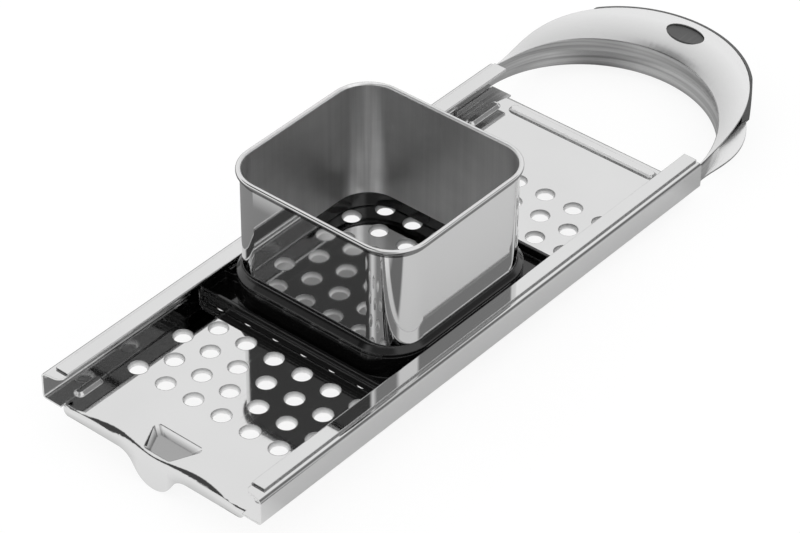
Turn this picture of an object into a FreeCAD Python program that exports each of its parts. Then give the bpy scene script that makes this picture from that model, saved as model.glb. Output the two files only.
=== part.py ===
import FreeCAD, Part
import math
import os
import re
import Sketcher

# A spaetzle maker: a grater plate with folded rails, a hollow stamped handle at its
# far end, and a hopper cup on a plastic slide that runs to and fro over the holes.
#
# The frame: +X runs along the rails towards the handle, +Z is up, and the origin is
# the centre of the field of holes on the underside of the plate.

# Driving dimensions, in millimetres.
SIZES = {
    # grater plate
    "plate_thick": 0.8,
    "rail_width": 119.6,
    "rail_height": 13.0,
    "rail_front": 138.8,
    "rail_back": 149.6,
    "bend_radius": 1.6,
    "flange_width": 9.9,
    "hem_setback": 3.0,
    "hem_gap": 0.2,
    "hem_front": 133.2,
    "flange_front": 137.3,
    "flange_corner": 4.5,
    # field of holes
    "hole_diameter": 8.8,
    "hole_pitch": 15.5,
    "row_pitch": 13.423,
    "row_pairs": 8,
    # curled front lip with its hanging tongue
    "lip_root": 130.0,
    "lip_face": 138.0,
    "lip_inset": 10.2,
    "lip_drop": 4.2,
    "lip_end_round": 3.0,
    "lip_foot_bend": 1.2,
    "crest_middle": 0.6,
    "crest_near": 1.7,
    "crest_full": 3.6,
    "crest_end": 1.0,
    "crest_bend_middle": 1.1,
    "crest_bend_near": 2.3,
    "crest_bend_full": 4.4,
    "crest_bend_end": 1.8,
    "tongue_drop": 16.6,
    "tongue_nose": 10.8,
    "tongue_shoulder": 8.3,
    "tongue_flank": 57.0,
    # pressed recess in front of the lip
    "recess_rear": 120.5,
    "recess_front": 135.2,
    "recess_rear_half": 14.0,
    "recess_front_half": 7.0,
    "recess_slope": 2.3,
    "recess_depth": 3.0,
    "recess_round": 2.0,
    "recess_rim": 0.6,
    # pressed ribs
    "rib_width": 5.0,
    "rib_rise": 1.5,
    "rib_bevel": 1.1,
    "front_rib_start": 130.2,
    "front_rib_end": 115.4,
    "front_rib_inset": 7.8,
    "rear_rib_start": 118.6,
    "rear_rib_end": 140.6,
    "rear_rib_inset": 10.1,
    "cross_rib_start": 139.0,
    "cross_rib_width": 5.6,
    "cross_rib_inset": 18.8,
    # turned-down far edge
    "rear_lip_inset": 12.8,
    "rear_lip_setback": 0.8,
    "rear_lip_bend": 2.4,
    "rear_lip_drop": 3.2,
    # hollow handle
    "strap_thick": 0.9,
    "strap_front": 124.2,
    "strap_low": 1.4,
    "strap_headroom": 0.5,
    "strap_gap": 0.3,
    "bow_centre": 146.0,
    "grip_reach": 23.0,
    "grip_start": 1.2,
    "grip_edge": 0.15,
    "fold_height": 15.5,
    "fold_bevel": 0.3,
    "crease_height": 7.8,
    "crease_start": 1.6,
    "crease_lean": 1.5,
    "crown_rise": 5.2,
    "crown_swell": 1.4,
    "belly_drop": 1.0,
    "belly_rim": 4.0,
    # soft core of the handle and its oval plug
    "core_inset": 13.6,
    "core_depth": 3.3,
    "core_stand": 1.7,
    "core_swell": 0.4,
    "core_bevel": 0.3,
    "core_gap": 0.2,
    "badge_length": 20.0,
    "badge_width": 10.8,
    "badge_inset": 9.0,
    "badge_gap": 0.12,
    # slide
    "slide_gap": 0.3,
    "tray_front": 51.2,
    "tray_back": 62.4,
    "tray_side_gap": 3.0,
    "tray_step": 0.8,
    "tray_step_height": 4.4,
    "tray_rim": 7.0,
    "tray_floor": 3.0,
    "tray_wall": 1.5,
    "tray_corner": 2.4,
    "front_wing": 33.0,
    "rear_wing": 44.0,
    "wing_round": 6.0,
    # collar that clamps the cup
    "collar_side_gap": 0.7,
    "collar_lip_front": 3.6,
    "collar_lip_back": 4.0,
    "collar_lip_side": 2.3,
    "collar_lip_round": 4.0,
    "collar_seat": 13.6,
    "collar_top": 17.3,
    "collar_slope": 2.1,
    "ledge_height": 9.8,
    "ledge_thick": 1.6,
    "ledge_width": 1.0,
    "fit_gap": 0.12,
    # hopper cup
    "cup_front": 42.0,
    "cup_back": 47.0,
    "cup_round": 16.5,
    "cup_thick": 0.6,
    "cup_rim": 66.2,
    "bead_height": 2.4,
    "bead_stand": 1.7,
    "bead_round": 1.0,
}

# Sizes that follow from the ones above.
RAIL_SIDE = "(rail_width / 2)"
LIP_HALF = f"({RAIL_SIDE} - lip_inset)"
REAR_LIP_HALF = f"({RAIL_SIDE} - rear_lip_inset)"
STRAP_TOP = "(rail_height - plate_thick - strap_headroom)"
BOW_RADIUS = f"({RAIL_SIDE} - plate_thick - strap_gap - strap_thick)"
RIM_CENTRE = "(bow_centre + grip_reach)"
BADGE_PLACE = f"({RIM_CENTRE} + {BOW_RADIUS} - badge_inset)"
COLLAR_FRONT = "(cup_front + collar_lip_front)"
COLLAR_BACK = "(cup_back + collar_lip_back)"
COLLAR_HALF = f"({RAIL_SIDE} - flange_width - collar_side_gap)"
TRAY_HALF = f"({RAIL_SIDE} - plate_thick - tray_side_gap)"
CUP_HALF = f"({COLLAR_HALF} - collar_lip_side)"
SOLE = "(plate_thick + slide_gap)"
RECESS_TAPER = "((recess_rear_half - recess_front_half) / (recess_front - recess_rear))"
RECESS_FLANK = f"sqrt(1 + {RECESS_TAPER} ^ 2)"
RECESS_SKIN = "(plate_thick * sqrt(1 + (recess_slope / recess_depth) ^ 2))"

# How far a cut reaches past what it trims, and the straight kept between two roundings.
MARGIN = "2"
SHORT = "0.05"

doc = FreeCAD.newDocument("SpaetzleMaker")
sheet = doc.addObject("Spreadsheet::Sheet", "Sizes")
for row, (alias, value) in enumerate(SIZES.items(), start=1):
    sheet.set(f"A{row}", alias)
    sheet.set(f"B{row}", str(value))
    sheet.setAlias(f"B{row}", alias)
doc.recompute()


# ---- sizes and sketches -------------------------------------------------------------


def linked(formula):
    """The formula with each size's name pointing at its cell."""

    def cell(word):
        return "Sizes." + word.group() if word.group() in SIZES else word.group()

    return re.sub(r"[a-z_]{3,}", cell, str(formula))


def size(formula):
    """The value of a formula of sizes."""
    return float(sheet.evalExpression(linked(formula)))


def bind(feature, name, formula):
    """Ties a property of a feature to a formula of sizes."""
    feature.setExpression(name, linked(formula))


def new_body(name):
    body = doc.addObject("PartDesign::Body", name)
    body.Label = name
    return body


def new_sketch(body, name, plane, offset="0"):
    """A sketch on one of the body's origin planes, moved along the plane's normal."""
    sketch = body.newObject("Sketcher::SketchObject", name)
    origin = next(f for f in body.Origin.OriginFeatures if f.Role == plane)
    sketch.AttachmentSupport = (origin, [""])
    sketch.MapMode = "FlatFace"
    bind(sketch, "AttachmentOffset.Base.z", offset)
    return sketch


def fix_point(sketch, geometry, corner, x, y):
    """Holds a point of a sketch at the formulas x and y."""
    for kind, formula in (("DistanceX", x), ("DistanceY", y)):
        index = sketch.addConstraint(
            Sketcher.Constraint(kind, geometry, corner, size(formula))
        )
        bind(sketch, f"Constraints[{index}]", formula)


def hold_radius(sketch, geometry, formula):
    index = sketch.addConstraint(
        Sketcher.Constraint("Radius", geometry, size(formula))
    )
    bind(sketch, f"Constraints[{index}]", formula)


def rounded_corner(before, corner, after, radius):
    """Start, end and arc of a fillet between two straight sides."""
    back = (before - corner).normalize()
    ahead = (after - corner).normalize()
    half = back.getAngle(ahead) / 2
    start = corner + back * (radius / math.tan(half))
    end = corner + ahead * (radius / math.tan(half))
    centre = corner + (back + ahead).normalize() * (radius / math.sin(half))
    angles = [math.atan2((p - centre).y, (p - centre).x) for p in (start, end)]
    left_turn = back.cross(ahead).z < 0
    if not left_turn:
        angles.reverse()
    if angles[1] < angles[0]:
        angles[1] += 2 * math.pi
    circle = Part.Circle(centre, FreeCAD.Vector(0, 0, 1), radius)
    return start, end, Part.ArcOfCircle(circle, *angles), left_turn


def outline(sketch, corners):
    """A closed outline: each corner is (x, y), or (x, y, radius) where it is rounded."""
    points = [FreeCAD.Vector(size(c[0]), size(c[1]), 0) for c in corners]
    count = len(points)
    starts, ends, arcs = list(points), list(points), [None] * count
    for i, corner in enumerate(corners):
        if len(corner) > 2:
            ahead = points[(i + 1) % count]
            starts[i], ends[i], *arcs[i] = rounded_corner(
                points[i - 1], points[i], ahead, size(corner[2])
            )
    lines = [
        sketch.addGeometry(Part.LineSegment(ends[i], starts[(i + 1) % count]))
        for i in range(count)
    ]
    for i, corner in enumerate(corners):
        before, after = lines[i - 1], lines[i]
        if arcs[i] is None:
            sketch.addConstraint(Sketcher.Constraint("Coincident", before, 2, after, 1))
            fix_point(sketch, after, 1, corner[0], corner[1])
            continue
        curve, left_turn = arcs[i]
        arc = sketch.addGeometry(curve)
        first, last = (1, 2) if left_turn else (2, 1)
        sketch.addConstraint(Sketcher.Constraint("Tangent", before, 2, arc, first))
        sketch.addConstraint(Sketcher.Constraint("Tangent", arc, last, after, 1))
        hold_radius(sketch, arc, corner[2])
        virtual = sketch.addGeometry(Part.Point(points[i]), True)
        for side in (before, after):
            sketch.addConstraint(
                Sketcher.Constraint("PointOnObject", virtual, 1, side)
            )
        fix_point(sketch, virtual, 1, corner[0], corner[1])


def hole(sketch, x, y, radius):
    """A full circle at the formulas x and y."""
    centre = FreeCAD.Vector(size(x), size(y), 0)
    circle = sketch.addGeometry(
        Part.Circle(centre, FreeCAD.Vector(0, 0, 1), size(radius))
    )
    hold_radius(sketch, circle, radius)
    fix_point(sketch, circle, 3, x, y)


def rectangle(x_low, x_high, y_low, y_high, *radius):
    """The four corners of a rectangle, for outline."""
    return [
        (x_low, y_low, *radius),
        (x_high, y_low, *radius),
        (x_high, y_high, *radius),
        (x_low, y_high, *radius),
    ]


def mirrored(corners):
    """The same corners on the other side of the sketch's vertical axis, in reverse."""
    return [(f"-({c[0]})", *c[1:]) for c in reversed(corners)]


def flipped(corners):
    """The same corners on the other side of the sketch's level axis, in reverse."""
    return [(c[0], f"-({c[1]})", *c[2:]) for c in reversed(corners)]


# ---- features -----------------------------------------------------------------------


volumes = {}


def finish(body, feature, grows):
    """Recomputes and makes sure that the feature added or removed material."""
    doc.recompute()
    change = body.Shape.Volume - volumes.get(body.Name, 0.0)
    volumes[body.Name] = body.Shape.Volume
    if not feature.isValid() or change == 0 or (change > 0) != grows:
        raise RuntimeError(f"{feature.Name} changed the volume by {change:.3f}")
    return feature


def pad(body, sketch, length, middle=False, reverse=False):
    feature = body.newObject("PartDesign::Pad", sketch.Name + "Pad")
    feature.Profile = sketch
    feature.SideType = "Symmetric" if middle else "One side"
    feature.Reversed = reverse
    bind(feature, "Length", length)
    return finish(body, feature, grows=True)


def pocket(body, sketch, depth, reverse=False):
    """Cuts against the sketch's normal, or along it where reverse is set."""
    feature = body.newObject("PartDesign::Pocket", sketch.Name + "Cut")
    feature.Profile = sketch
    feature.Reversed = reverse
    bind(feature, "Length", depth)
    return finish(body, feature, grows=False)


def loft(body, kind, sections, ruled=False):
    """kind is AdditiveLoft or SubtractiveLoft."""
    feature = body.newObject("PartDesign::" + kind, sections[0].Name + "Loft")
    feature.Profile = sections[0]
    feature.Sections = sections[1:]
    feature.Ruled = ruled
    return finish(body, feature, grows=kind.startswith("Additive"))


def ease_edges(body, kind, heights, amount):
    """Chamfers or fillets the last feature's own level edges at the given heights."""
    levels = [size(height) for height in heights]
    base = body.Tip
    earlier = base.BaseFeature.Shape.Edges if base.BaseFeature else []
    centres = [edge.CenterOfMass for edge in earlier]
    names = []
    for number, edge in enumerate(base.Shape.Edges, start=1):
        box, centre = edge.BoundBox, edge.CenterOfMass
        at_level = any(max(box.ZMax - z, z - box.ZMin) < 1e-4 for z in levels)
        if at_level and not any(centre.isEqual(other, 1e-4) for other in centres):
            names.append(f"Edge{number}")
    feature = body.newObject("PartDesign::" + kind, base.Name + kind)
    feature.Base = (base, names)
    bind(feature, "Size" if kind == "Chamfer" else "Radius", amount)
    return finish(body, feature, grows=False)


# ---- grater plate -------------------------------------------------------------------


def rail_section():
    """Right half of the sheet's section, from the floor round the rail to the hem."""
    outer = RAIL_SIDE
    inner = f"{outer} - plate_thick"
    fold = f"{outer} - flange_width"
    hem_low = "rail_height + hem_gap"
    hem_top = "rail_height + hem_gap + plate_thick"
    tight = f"plate_thick - {SHORT}"
    return [
        (outer, "0", "bend_radius"),
        (outer, "rail_height", "bend_radius"),
        (f"{fold} + plate_thick", "rail_height"),
        (f"{fold} + plate_thick", hem_low),
        (f"{outer} - hem_setback", hem_low),
        (f"{outer} - hem_setback", hem_top),
        (fold, hem_top, tight),
        (fold, "rail_height - plate_thick", tight),
        (inner, "rail_height - plate_thick", "bend_radius - plate_thick"),
        (inner, "plate_thick", "bend_radius - plate_thick"),
    ]


def trim_rail_fronts(body):
    """Rounds the front corner of each top flange and sets its hem back."""
    fold = f"{RAIL_SIDE} - flange_width"
    beyond, behind = f"-(rail_front + {MARGIN})", f"-(hem_front - {MARGIN})"
    inside, outside = f"{fold} - {MARGIN}", f"{RAIL_SIDE} + {MARGIN}"
    corner = [
        (beyond, inside),
        (behind, inside),
        (behind, fold),
        ("-flange_front", fold, "flange_corner"),
        ("-rail_front", RAIL_SIDE),
        ("-rail_front", outside),
        (beyond, outside),
    ]
    cuts = (
        ("FlangeCorner", corner, "rail_height - bend_radius"),
        ("HemEnd", rectangle(beyond, "-hem_front", inside, outside), "rail_height + hem_gap / 2"),
    )
    for name, shape, floor in cuts:
        sketch = new_sketch(body, name, "XY_Plane", floor)
        outline(sketch, shape)
        outline(sketch, flipped(shape))
        pocket(body, sketch, "rail_height", reverse=True)


# Places along the lip's half width, each with the crest's setback and its bend.
LIP_STATIONS = (
    (1.0, "crest_end", "crest_bend_end"),
    (0.54, "crest_full", "crest_bend_full"),
    (0.18, "crest_near", "crest_bend_near"),
    (0.0, "crest_middle", "crest_bend_middle"),
    (-0.18, "crest_near", "crest_bend_near"),
    (-0.54, "crest_full", "crest_bend_full"),
    (-1.0, "crest_end", "crest_bend_end"),
)


def lip_section(body, name, share, setback, bend):
    """The sheet bends down at the crest, slants to the face, then hangs straight."""
    lean = f"atan(lip_drop / {setback})"
    crest = f"-(lip_face - {setback})"
    foot = "plate_thick - lip_drop"
    low = f"plate_thick - tongue_drop - {MARGIN}"
    sketch = new_sketch(body, name, "XZ_Plane", f"-({share} * {LIP_HALF})")
    outline(
        sketch,
        [
            ("-lip_root", "0"),
            ("-lip_root", "plate_thick"),
            (crest, "plate_thick", bend),
            ("-lip_face", foot, "lip_foot_bend"),
            ("-lip_face", low),
            ("-lip_face + plate_thick", low),
            (
                "-lip_face + plate_thick",
                f"{foot} - plate_thick * tan(45 deg - {lean} / 2)",
                "lip_foot_bend - plate_thick",
            ),
            (
                f"{crest} + plate_thick * tan({lean} / 2)",
                "0",
                f"{bend} - plate_thick",
            ),
        ],
    )
    return sketch


def add_front_lip(body):
    """The crest swings back on both sides of the tongue and returns at the ends."""
    floor = new_sketch(body, "LipSeat", "XY_Plane", f"plate_thick + {MARGIN}")
    front = f"-(rail_front + {MARGIN})"
    outline(floor, rectangle(front, "-lip_root", f"-{LIP_HALF}", LIP_HALF))
    pocket(body, floor, f"plate_thick + 2 * {MARGIN}")
    sections = [
        lip_section(body, f"Lip{number}", *station)
        for number, station in enumerate(LIP_STATIONS)
    ]
    loft(body, "AdditiveLoft", sections)

    # The lower edge: straight, with a round nose hanging down in the middle.
    edge = "plate_thick - lip_drop"
    nose = "tongue_drop + tongue_nose * (1 / cos(tongue_flank) - 1)"
    shoulder = f"({nose} - lip_drop) / tan(tongue_flank)"
    above = f"-{SHORT}"
    below = f"-(tongue_drop + {MARGIN})"
    side = LIP_HALF
    trim = new_sketch(body, "TongueTrim", "YZ_Plane", f"-(lip_face + {MARGIN})")
    outline(
        trim,
        [
            (f"-{side} - {MARGIN}", above),
            (f"-{side}", above),
            (f"-{side}", edge, "lip_end_round"),
            (f"-({shoulder})", edge, "tongue_shoulder"),
            ("0", f"plate_thick - ({nose})", "tongue_nose"),
            (shoulder, edge, "tongue_shoulder"),
            (side, edge, "lip_end_round"),
            (side, above),
            (f"{side} + {MARGIN}", above),
            (f"{side} + {MARGIN}", below),
            (f"-{side} - {MARGIN}", below),
        ],
    )
    pocket(body, trim, f"lip_face + {MARGIN} - lip_root", reverse=True)


def recess_corners(inset):
    """The recess narrows towards the lip; inset shrinks it evenly on all sides."""
    rear = f"-(recess_rear + {inset})"
    front = f"-(recess_front - {inset})"
    rear_half = f"(recess_rear_half - ({RECESS_FLANK} + {RECESS_TAPER}) * {inset})"
    front_half = f"(recess_front_half - ({RECESS_FLANK} - {RECESS_TAPER}) * {inset})"
    return [
        (rear, f"-{rear_half}", "recess_round"),
        (rear, rear_half, "recess_round"),
        (front, front_half, "recess_round"),
        (front, f"-{front_half}", "recess_round"),
    ]


def add_recess(body):
    """A shallow pressed well: an outer skin first, then its hollow."""
    skins = (
        ("RecessSkin", "AdditiveLoft", "plate_thick / 2", "-recess_depth", RECESS_SKIN),
        ("RecessWell", "SubtractiveLoft", "plate_thick", "plate_thick - recess_depth", "0"),
    )
    for name, kind, high, low, skin in skins:
        rings = []
        for ring, height in (("Top", high), ("Foot", low)):
            sketch = new_sketch(body, name + ring, "XY_Plane", height)
            sunk = f"recess_slope * (plate_thick - ({height})) / recess_depth"
            outline(sketch, recess_corners(f"({sunk} - {skin})"))
            rings.append(sketch)
        loft(body, kind, rings, ruled=True)
    ease_edges(body, "Fillet", ["plate_thick"], "recess_rim")


def add_rib(body, name, corners, inner_corners):
    """A pressed rib: a rounded ridge above and the matching groove below."""
    ridge = new_sketch(body, name, "XY_Plane", "plate_thick")
    for shape in corners:
        outline(ridge, shape)
    pad(body, ridge, "rib_rise")
    ease_edges(body, "Chamfer", ["plate_thick + rib_rise"], "rib_bevel")
    groove = new_sketch(body, name + "Groove", "XY_Plane", "0")
    for shape in inner_corners:
        outline(groove, shape)
    pocket(body, groove, "rib_rise", reverse=True)


def side_rib(start, end, side, inset):
    return rectangle(
        f"{start} + {inset}",
        f"{end} - {inset}",
        f"{side} + {inset}",
        f"{side} + rib_width - {inset}",
        f"rib_width / 2 - {inset} - {SHORT}",
    )


def add_ribs(body):
    """Four short ribs stop the slide, and one across stiffens the far end."""
    places = (
        ("FrontRib", "-front_rib_start", "-front_rib_end", "front_rib_inset"),
        ("RearRib", "rear_rib_start", "rear_rib_end", "rear_rib_inset"),
    )
    for name, start, end, from_side in places:
        side = f"{RAIL_SIDE} - {from_side} - rib_width"
        ridge = side_rib(start, end, side, "0")
        groove = side_rib(start, end, side, "plate_thick")
        add_rib(body, name, [ridge, flipped(ridge)], [groove, flipped(groove)])
    cross = [
        rectangle(
            f"cross_rib_start + {inset}",
            f"cross_rib_start + cross_rib_width - {inset}",
            f"-{RAIL_SIDE} + cross_rib_inset + {inset}",
            f"{RAIL_SIDE} - cross_rib_inset - {inset}",
            f"cross_rib_width / 2 - {inset} - {SHORT}",
        )
        for inset in ("0", "plate_thick")
    ]
    add_rib(body, "CrossRib", [cross[0]], [cross[1]])


def add_rear_lip(body):
    """The plate's far edge turns down between the rails."""
    face = "rail_back - rear_lip_setback"
    back = f"{face} - plate_thick"
    root = f"{face} - rear_lip_bend"
    floor = new_sketch(body, "RearLipSeat", "XY_Plane", f"plate_thick + {MARGIN}")
    beyond = f"rail_back + {MARGIN}"
    outline(floor, rectangle(root, beyond, f"-{REAR_LIP_HALF}", REAR_LIP_HALF))
    pocket(body, floor, f"plate_thick + 2 * {MARGIN}")
    low = "plate_thick - rear_lip_drop"
    curl = new_sketch(body, "RearLip", "XZ_Plane")
    outline(
        curl,
        [
            (root, "plate_thick"),
            (root, "0"),
            (back, "0", f"rear_lip_bend - plate_thick - {SHORT}"),
            (back, low),
            (face, low),
            (face, "plate_thick", f"rear_lip_bend - {SHORT}"),
        ],
    )
    pad(body, curl, f"2 * {REAR_LIP_HALF}", middle=True)


def punch_holes(body):
    """Two staggered rows of six holes, repeated along the plate."""
    pair = new_sketch(body, "HolePair", "XY_Plane", f"plate_thick + {MARGIN}")
    first_row = "-(2 * row_pairs - 1) / 2 * row_pitch"
    for across in range(6):
        left = f"({2.75 - across}) * hole_pitch"
        right = f"({2.25 - across}) * hole_pitch"
        hole(pair, first_row, left, "hole_diameter / 2")
        hole(pair, f"{first_row} + row_pitch", right, "hole_diameter / 2")
    punched = pocket(body, pair, f"plate_thick + 2 * {MARGIN}")
    pattern = body.newObject("PartDesign::LinearPattern", "HoleField")
    pattern.Originals = [punched]
    along = next(f for f in body.Origin.OriginFeatures if f.Role == "X_Axis")
    pattern.Direction = (along, [""])
    pattern.Mode = "Spacing"
    bind(pattern, "Offset", "2 * row_pitch")
    bind(pattern, "Occurrences", "row_pairs")
    body.Tip = pattern
    finish(body, pattern, grows=False)


def grater_plate():
    """One stamped sheet: floor, rails with hemmed flanges, lip, recess, ribs, holes."""
    body = new_body("grater_plate")
    channel = new_sketch(body, "Channel", "YZ_Plane", "-rail_front")
    half = rail_section()
    outline(channel, half + mirrored(half))
    pad(body, channel, "rail_front + rail_back")
    trim_rail_fronts(body)
    add_front_lip(body)
    add_recess(body)
    add_ribs(body)
    add_rear_lip(body)
    punch_holes(body)
    return body


# ---- handle -------------------------------------------------------------------------

# Angles round the bow, in degrees from +X, at which the grip's section is drawn.
STATIONS = (90, 79, 68, 56, 43, 29, 14, 0, -14, -29, -43, -56, -68, -79, -90)
CORE_REACH = 60

# The grip's heights settle at their own pace as the grip widens from strap to middle.
RISE_POWER = 0.85
FOLD_POWER = 2.2
CREASE_SHARE = 0.6


def grip_width(angle):
    """Distance from the web's inner face to the grip's outer rim, along the radius.

    The rim is the bow's own circle, moved back by the grip's reach. Where that circle
    runs inside the bow, only the strap is left, and the grip grows softly out of it.
    """
    least = size("strap_thick + grip_edge")
    across = size("grip_reach") * math.sin(math.radians(angle))
    reach = size("grip_reach") * math.cos(math.radians(angle))
    reach += math.sqrt(size(BOW_RADIUS) ** 2 - across**2)
    beyond = reach - size(BOW_RADIUS) - least
    return least + (beyond + math.hypot(beyond, size("grip_start"))) / 2


def grip_levels(angle):
    """Formulas of the grip's heights at one station, from the strap to the crown."""
    least = size("strap_thick + grip_edge")
    share = (grip_width(angle) - least) / (grip_width(0) - least)
    rise = math.sin(math.pi / 2 * share**RISE_POWER)
    settle = 1 - (1 - share) ** FOLD_POWER
    crease = math.sin(math.pi / 2 * min(share / CREASE_SHARE, 1.0))
    top = f"({STRAP_TOP} - crease_start)"
    fold = f"({STRAP_TOP} + (fold_height - {STRAP_TOP}) * {settle:.4f})"
    low = f"(strap_low - belly_drop * {share:.4f})"
    return {
        "width": f"{grip_width(angle):.4f}",
        "fold": fold,
        "rim": f"({fold} + crown_rise * {rise:.4f})",
        "crease": f"({top} - ({top} - crease_height) * {crease:.4f})",
        "lean": f"(crease_lean * {crease:.4f})",
        "swell": f"crown_swell * {share:.4f}",
        "low": low,
        "low_rim": f"({low} - belly_rim * {rise:.4f})",
    }


def radial_sketch(body, name, angle):
    """A sketch in the upright plane through the bow's axis, at an angle from +X."""
    sketch = new_sketch(body, name, "XY_Plane")
    turn = math.radians(angle)
    outward = FreeCAD.Vector(math.cos(turn), math.sin(turn), 0)
    up = FreeCAD.Vector(0, 0, 1)
    sketch.AttachmentOffset = FreeCAD.Placement(
        FreeCAD.Vector(), FreeCAD.Rotation(outward, up, outward.cross(up), "ZXY")
    )
    bind(sketch, "AttachmentOffset.Base.x", "bow_centre")
    return sketch


def curved_outline(sketch, points, bulges):
    """A closed outline through fixed points; bulges gives the sides that are arcs."""
    places = [FreeCAD.Vector(size(x), size(y), 0) for x, y in points]
    for i, start in enumerate(places):
        end = places[(i + 1) % len(places)]
        side = Part.LineSegment(start, end)
        if i in bulges:
            normal = FreeCAD.Vector(end.y - start.y, start.x - end.x, 0).normalize()
            side = Part.Arc(start, (start + end) / 2 + normal * bulges[i], end)
        sketch.addGeometry(side)


def shell_section(body, angle, number):
    """The stamped skin's section: belly, web, creased band, fold and swelling crown."""
    at = grip_levels(angle)
    bow, wide, skin = BOW_RADIUS, at["width"], "strap_thick"
    sketch = radial_sketch(body, f"Grip{number}", angle)
    points = [
        (f"{bow} + {wide}", at["low_rim"]),
        (f"{bow} + {wide}", f"{at['low_rim']} + {skin}"),
        (f"{bow} + {skin}", f"{at['low']} + {skin}"),
        (f"{bow} + {skin} + {at['lean']}", at["crease"]),
        (f"{bow} + {skin}", f"{at['fold']} - {skin}"),
        (f"{bow} + {wide}", f"{at['rim']} - {skin}"),
        (f"{bow} + {wide}", at["rim"]),
        (f"{bow} + fold_bevel", at["fold"]),
        (bow, f"{at['fold']} - fold_bevel"),
        (f"{bow} + {at['lean']}", at["crease"]),
        (bow, at["low"]),
    ]
    swell = size(at["swell"])
    curved_outline(sketch, points, {4: -swell, 6: swell})
    return sketch


def handle_shell():
    """The stamped bow: two straps welded inside the rails and a hollow grip."""
    body = new_body("handle_shell")
    straps = new_sketch(body, "Straps", "YZ_Plane", "strap_front")
    strap = rectangle(
        BOW_RADIUS, f"{BOW_RADIUS} + strap_thick", "strap_low", STRAP_TOP
    )
    outline(straps, strap)
    outline(straps, mirrored(strap))
    pad(body, straps, "bow_centre - strap_front")
    sections = [shell_section(body, a, i) for i, a in enumerate(STATIONS)]
    loft(body, "AdditiveLoft", sections)
    window = new_sketch(body, "BadgeWindow", "XY_Plane", "crease_height")
    oval(window, "badge_length", "badge_width")
    pocket(body, window, "fold_height + crown_rise", reverse=True)
    return body


def oval(sketch, length, width):
    """An ellipse whose long axis lies across the handle."""
    centre = FreeCAD.Vector(size(BADGE_PLACE), 0, 0)
    long_end = centre + FreeCAD.Vector(0, size(length) / 2, 0)
    short_end = centre + FreeCAD.Vector(size(width) / 2, 0, 0)
    sketch.addGeometry(Part.Ellipse(long_end, short_end, centre))


def core_section(body, angle, number):
    """A tongue between the two sheets, with a band outside that covers their edges."""
    at = grip_levels(angle)
    top, low, skin = at["rim"], at["low_rim"], "(strap_thick + core_gap)"
    rim = f"{BOW_RADIUS} + {at['width']}"
    inner = f"{rim} - core_depth * {grip_width(angle) / grip_width(0):.4f}"
    inside, outside = f"{rim} + core_gap", f"{rim} + core_stand"
    across = f"core_depth / {grip_width(0):.4f}"
    points = [
        (inner, f"{low} + ({at['low']} - {low}) * {across} + {skin}"),
        (inside, f"{low} + {skin}"),
        (inside, low),
        (outside, f"{low} + core_bevel"),
        (outside, f"{top} - core_bevel"),
        (inside, top),
        (inside, f"{top} - {skin}"),
        (inner, f"{top} - ({top} - {at['fold']}) * {across} - {skin}"),
    ]
    sketch = radial_sketch(body, f"Core{number}", angle)
    curved_outline(sketch, points, {3: size("core_swell")})
    return sketch


def handle_core():
    """The plastic core in the grip's mouth, cut off square at both ends."""
    body = new_body("handle_core")
    middle = [angle for angle in STATIONS if abs(angle) < CORE_REACH]
    sections = [core_section(body, angle, i) for i, angle in enumerate(middle)]
    loft(body, "AdditiveLoft", sections)
    ends = new_sketch(body, "CoreEnds", "XY_Plane", "-rail_height")
    side = f"{BOW_RADIUS} - core_inset"
    end = rectangle("bow_centre", f"{RIM_CENTRE} + {RAIL_SIDE}", side, "rail_width")
    outline(ends, end)
    outline(ends, flipped(end))
    pocket(body, ends, "3 * rail_height", reverse=True)
    return body


def handle_badge():
    """A bare oval plug that stands in the window of the grip's crown."""
    body = new_body("handle_badge")
    base = "fold_height + crown_rise / 2 - strap_thick"
    plug = new_sketch(body, "Plug", "XY_Plane", base)
    oval(plug, "badge_length - 2 * badge_gap", "badge_width - 2 * badge_gap")
    pad(body, plug, "strap_thick + crown_swell")
    return body


# ---- slide --------------------------------------------------------------------------


def tray_outline(inset):
    """The slide's outline: a wing at each end and a waist along the collar."""
    front, back = f"-(tray_front - {inset})", f"tray_back - {inset}"
    wide, waist = f"{TRAY_HALF} - {inset}", f"{COLLAR_HALF} - {inset}"
    near, far = f"-(front_wing + {inset})", f"rear_wing + {inset}"
    half = [
        (back, wide, f"tray_corner - {inset} / 2"),
        (far, wide, f"tray_corner - {inset} / 2"),
        (far, waist, "wing_round / 2"),
        (near, waist, "wing_round / 2"),
        (near, wide, f"tray_corner - {inset} / 2"),
        (front, wide, f"tray_corner - {inset} / 2"),
    ]
    return half + flipped(half)


def collar_outline(inset):
    """The rounded square of the collar, shrunk evenly by the inset."""
    return rectangle(
        f"-({COLLAR_FRONT} - ({inset}))",
        f"{COLLAR_BACK} - ({inset})",
        f"-({COLLAR_HALF} - ({inset}))",
        f"{COLLAR_HALF} - ({inset})",
        f"cup_round + collar_lip_round - ({inset})",
    )


def cup_outline(inset):
    """The rounded square of the cup's outer face, shrunk evenly by the inset."""
    return rectangle(
        f"-(cup_front - ({inset}))",
        f"cup_back - ({inset})",
        f"-({CUP_HALF} - ({inset}))",
        f"{CUP_HALF} - ({inset})",
        f"cup_round - ({inset})",
    )


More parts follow.
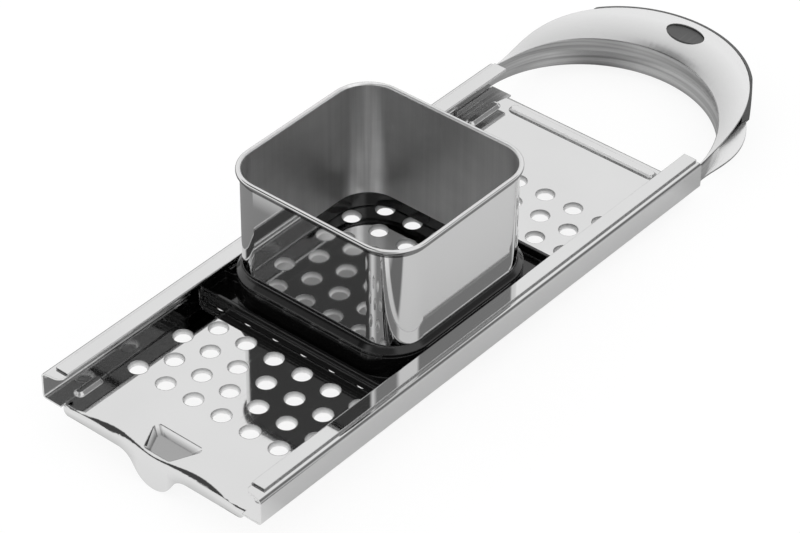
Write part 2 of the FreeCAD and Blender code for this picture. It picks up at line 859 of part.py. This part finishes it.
def slider_tray():
    """The plastic slide: two shallow wings, a tall collar wall, and its window."""
    body = new_body("slider_tray")
    foot = new_sketch(body, "Foot", "XY_Plane", SOLE)
    outline(foot, tray_outline("0"))
    pad(body, foot, f"tray_step_height - {SOLE}")
    upper = new_sketch(body, "Upper", "XY_Plane", "tray_step_height")
    outline(upper, tray_outline("tray_step"))
    pad(body, upper, "tray_rim - tray_step_height")
    wings = new_sketch(body, "Wings", "XY_Plane", "tray_floor")
    outline(wings, tray_outline("(tray_step + tray_wall)"))
    pocket(body, wings, "tray_rim", reverse=True)
    wall = new_sketch(body, "CollarWall", "XY_Plane", SOLE)
    outline(wall, collar_outline("0"))
    pad(body, wall, f"collar_seat - {SOLE}")

    seat = new_sketch(body, "CollarSeat", "XY_Plane", "ledge_height")
    outline(seat, collar_outline("tray_wall"))
    pocket(body, seat, "collar_seat", reverse=True)
    window = new_sketch(body, "Window", "XY_Plane", "0")
    outline(window, collar_outline("tray_wall + ledge_width"))
    pocket(body, window, "collar_seat", reverse=True)
    relief = new_sketch(body, "WindowRelief", "XY_Plane", "ledge_height - ledge_thick")
    outline(relief, collar_outline("tray_wall"))
    pocket(body, relief, "ledge_height")
    return body


def cup_collar():
    """The ring that sits on the slide's wall and grips the cup's foot."""
    body = new_body("cup_collar")
    cap = new_sketch(body, "Cap", "XY_Plane", "collar_seat")
    outline(cap, collar_outline("0"))
    pad(body, cap, "collar_top - collar_seat")
    ease_edges(body, "Chamfer", ["collar_top"], "collar_slope")
    skirt = new_sketch(body, "Skirt", "XY_Plane", "ledge_height")
    outline(skirt, collar_outline("tray_wall + fit_gap"))
    pad(body, skirt, "collar_seat - ledge_height")
    bore = new_sketch(body, "CupSeat", "XY_Plane", "0")
    outline(bore, cup_outline("-fit_gap"))
    pocket(body, bore, "2 * collar_top", reverse=True)
    return body


def hopper_cup():
    """The square steel cup, open at both ends, with a beaded rim."""
    body = new_body("hopper_cup")
    low, high = "cup_rim - bead_height / 2", "cup_rim + bead_height / 2"
    bead = new_sketch(body, "Bead", "XY_Plane", low)
    outline(bead, cup_outline("-bead_stand"))
    outline(bead, cup_outline("cup_thick"))
    pad(body, bead, "bead_height")
    ease_edges(body, "Fillet", [low, high], "bead_round")
    wall = new_sketch(body, "CupWall", "XY_Plane", "ledge_height")
    outline(wall, cup_outline("0"))
    outline(wall, cup_outline("cup_thick"))
    pad(body, wall, "cup_rim - ledge_height")
    return body


def write_parts(bodies):
    doc.recompute()
    failed = [o.Name for o in doc.Objects if {"Invalid", "Error"} & set(o.State)]
    if failed:
        raise RuntimeError("failed objects: " + ", ".join(failed))
    for body in bodies:
        if body.Shape.isNull() or not body.Shape.isValid():
            raise RuntimeError(f"{body.Label} has no valid shape")
    os.makedirs("parts", exist_ok=True)
    for body in bodies:
        body.Shape.exportStep(f"parts/{body.Label}.step")
        box = body.Shape.BoundBox
        print(
            f"{body.Label}: {len(body.Shape.Solids)} solid, {body.Shape.Volume:.1f} mm3, "
            f"x {box.XMin:.1f} {box.XMax:.1f}, y {box.YMin:.1f} {box.YMax:.1f}, "
            f"z {box.ZMin:.1f} {box.ZMax:.1f}"
        )


write_parts(
    [
        grater_plate(),
        handle_shell(),
        handle_core(),
        handle_badge(),
        slider_tray(),
        cup_collar(),
        hopper_cup(),
    ]
)
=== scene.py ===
# %% [markdown]
# A spaetzle maker is a steel grater plate with a cup that slides over its holes. The
# shapes come from a packed CAD model, and this script gives them their finishes: polished
# sheet steel, gloss black plastic and a matt grey grip. It starts by loading that model.
# Every length is in metres, +X runs towards the handle, +Y to its left, and +Z is up.

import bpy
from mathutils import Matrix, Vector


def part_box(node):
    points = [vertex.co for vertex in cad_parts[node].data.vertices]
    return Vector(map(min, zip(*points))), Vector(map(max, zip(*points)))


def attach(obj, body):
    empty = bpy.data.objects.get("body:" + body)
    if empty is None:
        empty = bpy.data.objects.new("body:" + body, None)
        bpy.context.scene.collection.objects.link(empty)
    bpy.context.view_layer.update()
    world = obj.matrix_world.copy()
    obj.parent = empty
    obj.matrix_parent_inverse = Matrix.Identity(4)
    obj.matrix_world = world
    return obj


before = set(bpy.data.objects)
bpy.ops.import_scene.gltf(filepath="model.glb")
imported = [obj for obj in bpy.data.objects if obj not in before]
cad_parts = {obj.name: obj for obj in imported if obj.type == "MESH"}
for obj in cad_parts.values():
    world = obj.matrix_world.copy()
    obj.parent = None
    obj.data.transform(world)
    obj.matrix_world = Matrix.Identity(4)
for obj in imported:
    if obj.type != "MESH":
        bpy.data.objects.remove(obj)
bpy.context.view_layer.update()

# %% [markdown]
# The camera is set up first, because every finish is judged through it. It stands well
# back with a long lens, so the two rails stay nearly parallel, as in a catalogue picture.
# A constraint could aim it at the plate, but a matrix made of three unit vectors places it
# exactly: right, up and backwards.

# %% Camera
import math

import bpy
from mathutils import Matrix, Vector

CAMERA_PLACE = Vector((-0.85335, -0.7307, 0.90135))
CAMERA_TURN = math.radians(40.06)
CAMERA_DIP = math.radians(38.27)
CAMERA_ROLL = math.radians(0.236)
LENS_MM = 153.27
SENSOR_MM = 36
NEAREST_SEEN = 0.05

camera = bpy.data.objects.new("camera", bpy.data.cameras.new("camera"))
bpy.context.scene.collection.objects.link(camera)
forward = Vector(
    (
        math.cos(CAMERA_DIP) * math.cos(CAMERA_TURN),
        math.cos(CAMERA_DIP) * math.sin(CAMERA_TURN),
        -math.sin(CAMERA_DIP),
    )
)
level_right = forward.cross(Vector((0, 0, 1))).normalized()
level_up = level_right.cross(forward)
right = level_right * math.cos(CAMERA_ROLL) + level_up * math.sin(CAMERA_ROLL)
up = level_up * math.cos(CAMERA_ROLL) - level_right * math.sin(CAMERA_ROLL)
axes = Matrix((right, up, -forward)).transposed().to_4x4()
camera.matrix_world = Matrix.Translation(CAMERA_PLACE) @ axes
camera.data.lens = LENS_MM
camera.data.sensor_width = SENSOR_MM
camera.data.clip_start = NEAREST_SEEN
bpy.context.scene.camera = camera
bpy.context.scene.view_settings.view_transform = "Standard"
print("camera distance to the plate:", round(CAMERA_PLACE.length, 3))

# %% [markdown]
# A finish is a small program of shader nodes. Wiring them by hand hides what they work
# out, so one class wraps an output socket and lets Python's own operators add the Math
# nodes. Every other node comes from its method `node`, which sets the node's settings
# first and then its sockets. The most useful one is `rise`, a soft step: it turns any
# reading into a mask that goes from 0 to 1 between two values.


# %% A wrapper for sockets
class Wire:
    """An output socket of a node tree, on which shader maths reads as Python."""

    def __init__(self, tree, socket=None):
        self.tree = tree
        self.socket = socket

    def node(self, kind, settings=None, sockets=None, output=0):
        """Adds a node of that kind and returns one of its outputs."""
        made = self.tree.nodes.new("ShaderNode" + kind)
        for name, value in (settings or {}).items():
            setattr(made, name, value)
        for name, value in (sockets or {}).items():
            if isinstance(value, Wire):
                self.tree.links.new(value.socket, made.inputs[name])
            else:
                made.inputs[name].default_value = value
        return Wire(self.tree, made.outputs[output] if len(made.outputs) else None)

    def math(self, operation, *values):
        return self.node("Math", {"operation": operation}, dict(enumerate(values)))

    def vector(self, operation, other, output="Vector"):
        sockets = {0: self, 1: other}
        return self.node("VectorMath", {"operation": operation}, sockets, output)

    def rise(self, start, end):
        """A mask that is 0 where the value is `start` and 1 where it is `end`."""
        sockets = {"Value": self, "From Min": start, "From Max": end}
        return self.node("MapRange", sockets=sockets)

    def __add__(self, other):
        return self.math("ADD", self, other)

    def __radd__(self, other):
        return self.math("ADD", other, self)

    def __sub__(self, other):
        return self.math("SUBTRACT", self, other)

    def __rsub__(self, other):
        return self.math("SUBTRACT", other, self)

    def __mul__(self, other):
        return self.math("MULTIPLY", self, other)

    def __rmul__(self, other):
        return self.math("MULTIPLY", other, self)

    def __abs__(self):
        return self.math("ABSOLUTE", self)

    def __lt__(self, other):
        return self.math("LESS_THAN", self, other)

    def __gt__(self, other):
        return self.math("GREATER_THAN", self, other)


print("operators:", [name for name in vars(Wire) if name.startswith("__")])

# %% [markdown]
# All the finishes read the same things: where a point of the piece lies, which way it
# faces, and noise that is stretched one way. Stretched noise is how brushing, rolling
# marks and fine scratches are drawn, because each of them is long in one direction and
# thin across it. A painted image could hold them too, but it would need a flat layout of
# every bent sheet. Noise needs none, and it stays sharp from close by.


# %% Materials, readings and stretched noise
def new_finish(name):
    """An empty material, and a wire to start from."""
    material = bpy.data.materials.new(name)
    material.use_nodes = True
    material.node_tree.nodes.clear()
    return material, Wire(material.node_tree)


def reading(tree, kind, axis):
    """The X, Y or Z of a point's place, "Object", or of the way it faces, "Normal"."""
    whole = tree.node("TexCoord", output=kind)
    return tree.node("SeparateXYZ", sockets={"Vector": whole}, output=axis)


def streaks(tree, stretch, detail=3.0):
    """Noise from 0 to 1 whose cells per metre along X, Y and Z are given by stretch."""
    scaled = tree.node("TexCoord", output="Object").vector("MULTIPLY", stretch)
    sockets = {"Vector": scaled, "Scale": 1.0, "Detail": detail, "Roughness": 0.5}
    return tree.node("TexNoise", sockets=sockets)


def relief(tree, height, under=None):
    """Normals that are bent by a height in metres, over other normals if given."""
    sockets = {"Strength": 1.0, "Distance": 1.0, "Height": height}
    if under:
        sockets["Normal"] = under
    return tree.node("Bump", sockets=sockets)


def close_finish(material, tree, sockets):
    """Adds the Principled shader with those sockets and the material's output."""
    surface = tree.node("BsdfPrincipled", sockets=sockets)
    tree.node("OutputMaterial", sockets={"Surface": surface})
    return material


def dress(node, material):
    """Gives a CAD node its finish, without touching its mesh."""
    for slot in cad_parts[node].material_slots:
        slot.material = material
    print(node, "->", material.name)


print("pieces to dress:", len(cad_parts))

# %% [markdown]
# Plate and handle are rolled stainless sheet, polished bright. A perfect mirror looks
# false, so three faint things break it up: the sheet is never quite flat, which bends
# reflections; rolling and polishing leave hair lines; and handling leaves a few scratches
# and soft smears, seen as a small change in roughness. Edges have to catch a line of
# light as well. A bevel modifier would change the CAD mesh, which keeps its shape, so the
# Bevel node only rounds the normals there.

# %% Polished sheet steel
RIPPLE_STRETCH, RIPPLE_DEPTH = (14, 20, 14), 0.00004
SMEAR_STRETCH, SMEAR_BLUR = (22, 22, 22), 0.03
SCRATCH_STRETCH, SCRATCH_DEPTH, SCRATCH_BLUR = (35, 1400, 1400), 0.000001, 0.05
SHEET_EDGE = 0.0004


def sheet_steel(name, colour, polish, line_stretch, line_depth):
    """A sheet's material, with its tone, blur and normals for more marks to join."""
    material, tree = new_finish(name)
    smears = streaks(tree, SMEAR_STRETCH, detail=2.0)
    scratches = streaks(tree, SCRATCH_STRETCH, detail=0.0).rise(0.70, 0.76)
    height = (
        streaks(tree, RIPPLE_STRETCH, detail=0.0) * RIPPLE_DEPTH
        + streaks(tree, line_stretch, detail=4.0) * line_depth
        - scratches * SCRATCH_DEPTH
    )
    round_edges = tree.node("Bevel", {"samples": 4}, {"Radius": SHEET_EDGE})
    tone = colour * (0.97 + 0.03 * smears.rise(0.3, 0.7))
    blur = polish + smears * SMEAR_BLUR + scratches * SCRATCH_BLUR
    return material, tree, tone, blur, relief(tree, height, round_edges)


print("depth of a scratch in metres:", SCRATCH_DEPTH)

# %% [markdown]
# Four places on the plate get more than plain polish, and most of it is painted light and
# shade in the colour. The recess behind the lip was pressed by a coarse die, which left it
# dull and rough, and its darker colour is painted shade. The cross rib's near side gets a
# painted highlight, a thin line that is lighter and less metallic. Painted shade darkens
# the front tongue's flanks, where they curve away from the light, and a painted dark line
# runs along the outer bend of each rail. Each place could be a piece of its own, but the
# real
# plate is one sheet. Masks keep it whole: every mask is a product of soft or sharp steps
# along the plate's own axes, and says how much painted shade or light a point gets.

# %% Plate finish
RECESS_FRONT, RECESS_REAR, RECESS_FLOOR = -0.1348, -0.11, -0.0018
RECESS_SHADE, RECESS_BLUR = 0.34, 0.14
RIB_SIDE_START, RIB_SIDE_END, RIB_HALF_LENGTH = 0.1386, 0.1403, 0.04123
RIB_LIGHT_FROM, RIB_LIGHT_FULL = 0.0013, 0.0016
RIB_PAINTED_LIGHT, RIB_SCATTER = 0.2, 0.8
TONGUE_REAR, TONGUE_TOP, TONGUE_BELOW_BEND = -0.13, -0.0012, -0.0045
TONGUE_MIDDLE, TONGUE_FLANK, FLANK_SHADE = 0.008, 0.020, 0.3
RAIL_INSIDE, RAIL_MIDDLE_HEIGHT, BEND_SHADE = 0.0575, 0.006, 0.42

material, tree, tone, blur, normal = sheet_steel(
    "polished_plate",
    colour=0.72,
    polish=0.03,
    line_stretch=(30, 2600, 2600),
    line_depth=0.0000004,
)
along, across, height = [reading(tree, "Object", axis) for axis in "XYZ"]
off_middle = abs(across)
sideways = abs(reading(tree, "Normal", "Y"))

# Painted shade: the pressed recess is darkened in colour, and it is also rougher.
sunk = height.rise(0.0, RECESS_FLOOR) * (along > RECESS_FRONT) * (along < RECESS_REAR)
rib_side = (along > RIB_SIDE_START) * (along < RIB_SIDE_END)
rib_side = rib_side * (off_middle < RIB_HALF_LENGTH)
# Painted highlight: a thin line on the cross rib's near side, lighter and less metallic.
rib_painted_highlight = rib_side * height.rise(RIB_LIGHT_FROM, RIB_LIGHT_FULL)
# Painted shade on the front tongue's flanks, where they curve away from the light.
hanging = height.rise(TONGUE_TOP, TONGUE_BELOW_BEND) * (along < TONGUE_REAR)
flanks = hanging * off_middle.rise(TONGUE_MIDDLE, TONGUE_FLANK)
# Painted dark line along the outer bend of each rail.
half_turned = sideways.rise(0.22, 0.38) * sideways.rise(0.96, 0.84)
bend = half_turned * (off_middle > RAIL_INSIDE) * (height > RAIL_MIDDLE_HEIGHT)

shade = sunk * RECESS_SHADE + flanks * FLANK_SHADE + bend * BEND_SHADE
plate_finish = close_finish(
    material,
    tree,
    {
        "Base Color": tone - shade + rib_painted_highlight * RIB_PAINTED_LIGHT,
        "Metallic": 1.0 - rib_painted_highlight * RIB_SCATTER,
        "Roughness": blur + sunk * RECESS_BLUR,
        "Normal": normal,
    },
)
dress("grater_plate", plate_finish)

# %% [markdown]
# The handle is drawn from one sheet into a hollow bow, and polished to a softer shine.
# Its colour carries painted shade in three places: fine dark lines along the bow on the
# steep inner web, a darker crown where it leans towards the fold, and a darker outer side
# of the bow, uneven like cloud. These regions could be held in an image mask, but the way
# a point faces already tells them apart, so its normal is read.

# %% Handle finish
LINES_SHADE, LEANING_SHADE, OUTER_SIDE_SHADE = 0.28, 0.34, 0.36
LEAST_OUTER_SHADE = 0.3

material, tree, tone, blur, normal = sheet_steel(
    "polished_handle",
    colour=0.80,
    polish=0.18,
    line_stretch=(500, 500, 2000),
    line_depth=0.000001,
)
facing_rear, facing_left, facing_up = [reading(tree, "Normal", axis) for axis in "XYZ"]
steep = facing_up.rise(0.55, 0.35)
# Painted shade: fine dark lines along the bow on the steep inner web.
web_shade_lines = steep * streaks(tree, (9, 9, 520)).rise(0.40, 0.62)
# Painted shade on the crown where it leans towards the fold.
leaning = facing_rear.rise(-0.12, -0.56) * (1.0 - steep)
# Painted shade on the bow's outer side, uneven through cloud-like noise.
outer_side = facing_left.rise(-0.24, -0.60) * steep
cloud = streaks(tree, (26, 26, 60), detail=1.0).rise(0.35, 0.65)
outer_side_shading = outer_side * (LEAST_OUTER_SHADE + (1 - LEAST_OUTER_SHADE) * cloud)

shade = web_shade_lines * LINES_SHADE + leaning * LEANING_SHADE + outer_side_shading * OUTER_SIDE_SHADE
handle_finish = close_finish(
    material,
    tree,
    {"Base Color": tone - shade, "Metallic": 1.0, "Roughness": blur, "Normal": normal},
)
dress("handle_shell", handle_finish)

# %% [markdown]
# The cup is the same steel outside, but its inside is only brushed, round and round, and
# stays darker, with upright streaks and water stains. Its far corner is lighter, and that
# is painted light. The inside could be a second skin, but one solid carries both faces,
# and a face looks inwards where its normal points against the line from the cup's centre.
# So the sign of a dot product tells the two finishes apart. The rim is rolled outwards,
# and painted shade darkens its underside, which sets it off from the wall.

# %% Cup steel
CUP_COLOUR, CUP_POLISH = 0.72, 0.035
FACING_INWARDS = -0.004
ROLL_BOTTOM, ROLL_SHADE = 0.0632, 0.5
TOWARDS_CORNER = (0.7071, 0.7071, 0)
CORNER_FROM, CORNER_FULL = 0.0545, 0.0565
BRUSHED_BLUR, BRUSHING_DEPTH = 0.32, 0.000002

low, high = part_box("hopper_cup")
material, tree = new_finish("cup_steel")
outward = tree.node("TexCoord", output="Object").vector("SUBTRACT", (low + high) / 2)
outward = outward.vector("MULTIPLY", (1, 1, 0))
facing = tree.node("TexCoord", output="Normal")
inside = outward.vector("DOT_PRODUCT", facing, "Value") < FACING_INWARDS
# The far inside corner, which gets painted light in the colour below.
corner = outward.vector("DOT_PRODUCT", TOWARDS_CORNER, "Value")
corner = corner.rise(CORNER_FROM, CORNER_FULL)

brushing = streaks(tree, (60, 60, 2500), detail=4.0)
upright = streaks(tree, (420, 420, 9)).rise(0.35, 0.65)
stains = streaks(tree, (28, 28, 40), detail=5.0).rise(0.30, 0.70)
ripple = streaks(tree, (18, 18, 10), detail=0.0)
# Painted shade on the underside of the rolled rim.
under_roll = reading(tree, "Normal", "Z").rise(0.56, 0.20) * (1.0 - inside)
under_roll = under_roll * (reading(tree, "Object", "Z") > ROLL_BOTTOM)

# Stains and upright streaks darken the inside; the far corner is lightened by painted
# light.
stains_and_painted_corner_light = stains * 0.14 + upright * 0.05 - corner * (0.22 - upright * 0.14) - 0.04
brushed = BRUSHED_BLUR + upright * 0.05 - corner * 0.08
relief_height = ripple * RIPPLE_DEPTH + brushing * inside * BRUSHING_DEPTH
cup_finish = close_finish(
    material,
    tree,
    {
        "Base Color": CUP_COLOUR - inside * stains_and_painted_corner_light - under_roll * ROLL_SHADE,
        "Metallic": 1.0,
        "Roughness": CUP_POLISH + inside * brushed + stains * 0.02,
        "Normal": relief(tree, relief_height),
    },
)
dress("hopper_cup", cup_finish)

# %% [markdown]
# The slide and its collar are injection moulded in black plastic with a high gloss, and
# the strip and the oval plug of the handle in a matt grey one. Up close a moulding has a
# slight orange peel, a little dust in its roughness, rubbed streaks along its length, and
# soft edges that catch a line of light. Two materials could be wired one by one, but the
# plastics share one recipe and differ only in its numbers, so a function makes both.


# %% Gloss black and matt grey plastic
def plastic_finish(name, colour, gloss, shine, peel_depth, edge):
    """A moulded plastic of that grey, with orange peel, dust and rubbed streaks."""
    material, tree = new_finish(name)
    peel = streaks(tree, (900, 900, 900), detail=1.0)
    dust = streaks(tree, (120, 120, 120), detail=5.0)
    rubbed = streaks(tree, (25, 900, 900), detail=1.0).rise(0.62, 0.80)
    round_edges = tree.node("Bevel", {"samples": 6}, {"Radius": edge})
    return close_finish(
        material,
        tree,
        {
            "Base Color": colour * (1.0 + dust * 0.5 + rubbed * 0.6),
            "Roughness": gloss + dust * 0.06 + rubbed * 0.05,
            "Specular IOR Level": shine,
            "Normal": relief(tree, peel * peel_depth, round_edges),
        },
    )


black_plastic = plastic_finish(
    "black_plastic", colour=0.003, gloss=0.05, shine=0.62, peel_depth=0.000002, edge=0.001
)
grip_plastic = plastic_finish(
    "grip_plastic", colour=0.055, gloss=0.42, shine=0.5, peel_depth=0.000012, edge=0.0004
)
for node in ("slider_tray", "cup_collar"):
    dress(node, black_plastic)
for node in ("handle_core", "handle_badge"):
    dress(node, grip_plastic)

# %% [markdown]
# The holes are punched downwards, so the sheet's edge is drawn into a short funnel under
# each one. The plate itself could be bent there, but its mesh stays as the CAD model has
# it. All the funnels are one new mesh instead: rings of points at a few depths, joined by
# faces. They hang just inside the holes, which stand in staggered rows.

# %% Drawn edges of the holes
HOLE_RADIUS, HOLE_PITCH = 0.0044, 0.0155
ROWS, ROW_PITCH = 16, 0.013423
COLUMNS, EVEN_ROW_START, ODD_ROW_START = 6, 2.75, 2.25
RING_POINTS = 40
FUNNEL = (
    (0.99, 0.00078),
    (0.98, 0.0003),
    (0.95, -0.0003),
    (0.90, -0.0008),
    (0.83, -0.0013),
)

angles = [2 * math.pi * step / RING_POINTS for step in range(RING_POINTS)]
points, faces = [], []
for row in range(ROWS):
    centre_x = (row - (ROWS - 1) / 2) * ROW_PITCH
    row_start = ODD_ROW_START if row % 2 else EVEN_ROW_START
    for column in range(COLUMNS):
        centre_y = (row_start - column) * HOLE_PITCH
        first = len(points)
        for share, depth in FUNNEL:
            for angle in angles:
                x = centre_x + HOLE_RADIUS * share * math.cos(angle)
                y = centre_y + HOLE_RADIUS * share * math.sin(angle)
                points.append((x, y, depth))
        for ring in range(len(FUNNEL) - 1):
            ring_start = first + ring * RING_POINTS
            for step in range(RING_POINTS):
                a = ring_start + step
                b = ring_start + (step + 1) % RING_POINTS
                faces.append((a, b, b + RING_POINTS, a + RING_POINTS))
mesh = bpy.data.meshes.new("hole_edges")
mesh.from_pydata(points, [], faces)
for face in mesh.polygons:
    face.use_smooth = True
hole_edges = bpy.data.objects.new("hole_edges", mesh)
bpy.context.scene.collection.objects.link(hole_edges)
print("holes:", ROWS * COLUMNS, "faces:", len(faces))

# %% [markdown]
# A drawn edge is torn and burnished steel, with fine marks. A full mirror down there
# would show only the dark sheet opposite, so most of this finish scatters light. Its
# colour is painted lighter the deeper it goes, a painted shade for light that comes in
# from below.
# The funnels get a finish of their own, and ride on the body frame.

# %% Finish of the drawn edges
EDGE_BOTTOM, EDGE_TOP, EDGE_SHADE = -0.00105, 0.0007, 0.55

material, tree = new_finish("drawn_edge")
# Painted shade: each funnel's colour gets darker towards its top edge.
higher = reading(tree, "Object", "Z").rise(EDGE_BOTTOM, EDGE_TOP)
marks = streaks(tree, (900, 900, 300))
edge_finish = close_finish(
    material,
    tree,
    {
        "Base Color": 1.0 - higher * EDGE_SHADE - marks * 0.04,
        "Metallic": 0.15,
        "Roughness": 0.35 + marks * 0.2,
        "Normal": relief(tree, marks * 0.000004),
    },
)
mesh.materials.append(edge_finish)
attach(hole_edges, "frame")
print("hole_edges ->", edge_finish.name)

# %% [markdown]
# The tool stands on a white table that runs on out of sight. It touches the table with
# the tip of its front tongue and with the belly of its handle. The tool could be turned
# to stand on a level table, but it keeps the CAD model's place, so the table leans a
# little instead.

# %% Table
TABLE_SIDE = 8
TONGUE_TIP_INSET, BELLY_INSET = 0.001, 0.012
CLEARANCE = 0.0003

tongue_low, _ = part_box("grater_plate")
belly_low, belly_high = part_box("handle_shell")
front_touch = Vector((tongue_low.x + TONGUE_TIP_INSET, 0, tongue_low.z))
rear_touch = Vector((belly_high.x - BELLY_INSET, 0, belly_low.z))
lean = math.atan2(rear_touch.z - front_touch.z, rear_touch.x - front_touch.x)
bpy.ops.mesh.primitive_plane_add(size=TABLE_SIDE)
table = bpy.context.object
table.name = "table"
table.rotation_euler = (0, -lean, 0)
table.location = front_touch - Vector((0, 0, CLEARANCE))
print("table leans by", round(math.degrees(lean), 2), "degrees")

# %% [markdown]
# The white paper under a product is lit until it shows as pure white. A lamp that strong
# would wash out the plastic, so the table glows for the camera instead, and is plain
# paper for the light itself, which keeps a faint shadow. The steel mirrors the table too.
# In its reflections the paper glows only in front of the tool. Beside and behind it the
# paper is painted grey, most of all at the left, with a dark patch at the front right:
# this is painted shade, seen only in reflections. Those painted greys draw the dark bands
# of the cup and the rails.

# %% Finish of the table
PAPER, GLOW_STRENGTH = 0.95, 1.02
GLOW_FOR_CAMERA, GLOW_IN_FRONT = 0.87, 0.8
GREY_BESIDE, GREY_AT_LEFT, GREY_IN_BOW, GREY_PATCH = 0.18, 0.46, 0.14, 0.58

material, tree = new_finish("white_table")
seen = tree.node("LightPath", output="Is Camera Ray")
mirrored = tree.node("LightPath", output="Is Glossy Ray")
spot = tree.node("NewGeometry", output="Position")
along = tree.node("SeparateXYZ", sockets={"Vector": spot}, output="X")
across = tree.node("SeparateXYZ", sockets={"Vector": spot}, output="Y")
beside = along.rise(-0.14, -0.11)
at_left = across.rise(0.0537, 0.0588)
in_bow = along.rise(0.145, 0.156) * (1.0 - at_left)
front_right = across.rise(-0.088, -0.0922) * along.rise(-0.0617, -0.0702)
# Painted shade, seen only in reflections: grey paper beside and behind the tool, most at
# the left, and a dark patch at the front right.
painted_reflected_shade = beside * (GREY_BESIDE + at_left * GREY_AT_LEFT + in_bow * GREY_IN_BOW)
painted_reflected_shade = painted_reflected_shade + front_right * GREY_PATCH
paper = tree.node(
    "BsdfPrincipled",
    sockets={
        "Base Color": PAPER - mirrored * painted_reflected_shade,
        "Roughness": 1.0,
        "Specular IOR Level": 0.0,
    },
)
glow = tree.node("Emission", sockets={"Color": (1, 1, 1, 1), "Strength": GLOW_STRENGTH})
glowing = seen * GLOW_FOR_CAMERA + mirrored * (1.0 - beside) * GLOW_IN_FRONT
both = tree.node("MixShader", sockets={"Fac": glowing, 1: paper, 2: glow})
tree.node("OutputMaterial", sockets={"Surface": both})
table.data.materials.append(material)
print("table ->", material.name)

# %% [markdown]
# Polished metal shows what stands around it, so the studio matters more than any lamp.
# Such tools are set in a white tent, and nearly every face of the steel shows plain
# white. Photographers then stand dark cards in the tent, because a dark line along a bend
# is what makes metal look like metal. Real sheets could be built for them, but they would
# also cast shadows. Here each card is a soft patch of the world's directions, seen only
# by reflections: a dot product says how near a direction is to the card's middle. Plain
# surfaces are lit by an even white room, so nothing has a hard shadow.

# %% White tent and dark cards
FRONT_DARK, NEAR_DARK, RIGHT_DARK = 0.93, 0.68, 0.7
FRONT_CARD_FROM, FRONT_CARD_FULL = 0.52, 0.60

world = bpy.data.worlds.new("studio")
bpy.context.scene.world = world
world.use_nodes = True
world.node_tree.nodes.clear()
tree = Wire(world.node_tree)
towards = tree.node("TexCoord", output="Generated")


def card(turn, rise, rim, full):
    """How much of a dark card a direction meets: 0 outside it and 1 well inside."""
    turn, rise = math.radians(turn), math.radians(rise)
    level = math.cos(rise)
    middle = (level * math.cos(turn), level * math.sin(turn), math.sin(rise))
    return towards.vector("DOT_PRODUCT", middle, "Value").rise(rim, full)


height = tree.node("SeparateXYZ", sockets={"Vector": towards}, output="Z")
front_card = card(turn=125, rise=50, rim=0.885, full=0.935)
front_card = front_card * height.rise(FRONT_CARD_FROM, FRONT_CARD_FULL)
near_card = card(turn=204, rise=37, rim=0.86, full=0.93)
right_card = card(turn=-40, rise=36, rim=0.95, full=0.985)
darkness = front_card * FRONT_DARK + near_card * NEAR_DARK + right_card * RIGHT_DARK
camera_ray = tree.node("LightPath", output="Is Camera Ray")
glossy_ray = tree.node("LightPath", output="Is Glossy Ray")
shown = tree.math("MAXIMUM", 1.0 - glossy_ray * darkness, camera_ray)
sky = tree.node("Background", sockets={"Color": shown, "Strength": 1.0})
tree.node("OutputWorld", sockets={"Surface": sky})
print("nodes in the studio's world:", len(world.node_tree.nodes))
